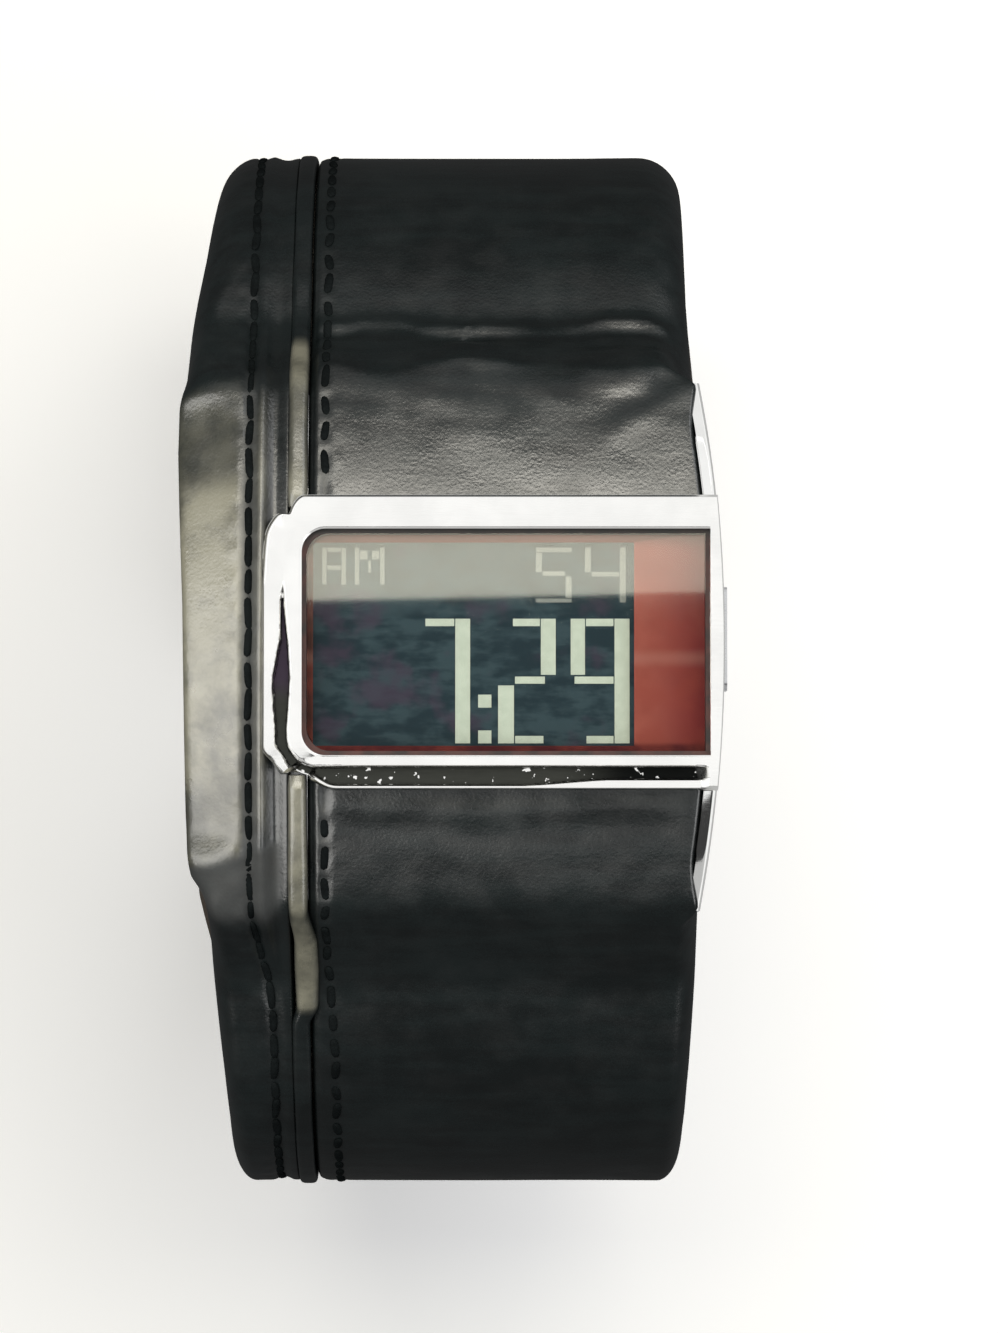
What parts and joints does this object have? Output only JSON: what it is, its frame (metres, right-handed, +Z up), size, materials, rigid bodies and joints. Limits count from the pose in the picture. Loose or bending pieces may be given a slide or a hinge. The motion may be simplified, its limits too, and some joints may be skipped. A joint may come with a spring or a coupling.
{
  "type": "cuff wristwatch",
  "caption": "Wide leather cuff wristwatch with a digital display in a stepped steel frame, one side pusher and a tang buckle, closed in a ring.",
  "frame": {"origin": "on the rest plane, under the middle of the cuff: the plane is the buckle frame's flat outer face", "axes": "+X across the cuff towards the bare flank, +Y towards 12 o'clock, +Z up towards the dial"},
  "size_m": [0.0368, 0.0746, 0.0617],
  "materials": {
    "polished_steel": "polished",
    "steel": "satin",
    "cuff_leather": "smooth, lightly grained, semi-gloss",
    "lining_leather": "matte",
    "felt": "matte",
    "black_rubber": "matte",
    "crystal": "polished",
    "red_mask": "printed",
    "display": "smooth",
    "digits": "flat",
    "light_film": "satin",
    "contact_rubber": "matte",
    "dark_plastic": "moulded",
    "board": "lacquered",
    "contact_brass": "stamped",
    "amber_film": "smooth"
  },
  "bodies": {
    "watch": {"case_body": "polished_steel", "case_back": "steel", "case_back_gasket": "black_rubber", "case_back_screws": "steel", "bezel_frame": "polished_steel", "crystal": "crystal", "crystal_gasket": "black_rubber", "dial_mask": "red_mask", "lcd_panel": "display", "lcd_digits": "digits", "backlight": "light_film", "zebra_strips": "contact_rubber", "module_frame": "dark_plastic", "circuit_board": "board", "driver_chip": "dark_plastic", "quartz_can": "steel", "battery": "steel", "battery_clip": "contact_brass", "battery_insulator": "amber_film", "buzzer": "contact_brass", "buzzer_spring": "steel", "pusher_spring": "steel", "pusher_gasket": "black_rubber", "upper_left": "cuff_leather", "upper_top": "cuff_leather", "upper_bottom": "cuff_leather", "welt_top": "cuff_leather", "welt_bottom": "cuff_leather", "lining": "lining_leather", "padding_top": "felt", "padding_bottom": "felt", "spring_bar_tube": "steel", "spring_bar_tips": "steel", "spring_bar_spring": "steel", "fixed_keeper": "cuff_leather"},
    "pusher": {"pusher": "polished_steel", "pusher_clip": "steel"},
    "buckle": {"buckle_frame": "polished_steel"},
    "tang": {"tang": "polished_steel"},
    "keeper": {"free_keeper": "cuff_leather"}
  },
  "joints": [
    {"name": "pusher_press", "type": "slide", "parent": "watch", "child": "pusher", "axis": [-1, 0, 0], "range_m": [0, 0.0006], "stiffness_N_per_m": 400, "springref_m": -0.0008, "deforming": ["pusher_spring"]},
    {"name": "buckle_swing", "type": "hinge", "parent": "watch", "child": "buckle", "pos_m": [0, 0.005, 0.00519], "axis": [1, 0, 0], "range_deg": [0, 8]},
    {"name": "tang_swing", "type": "hinge", "parent": "buckle", "child": "tang", "pos_m": [0, 0.005, 0.00519], "axis": [1, 0, 0], "range_deg": [0, 10]},
    {"name": "keeper_slip", "type": "hinge", "parent": "watch", "child": "keeper", "pos_m": [0, 0, 0.0476], "axis": [1, 0, 0], "range_deg": [-2, 2]}
  ]
}
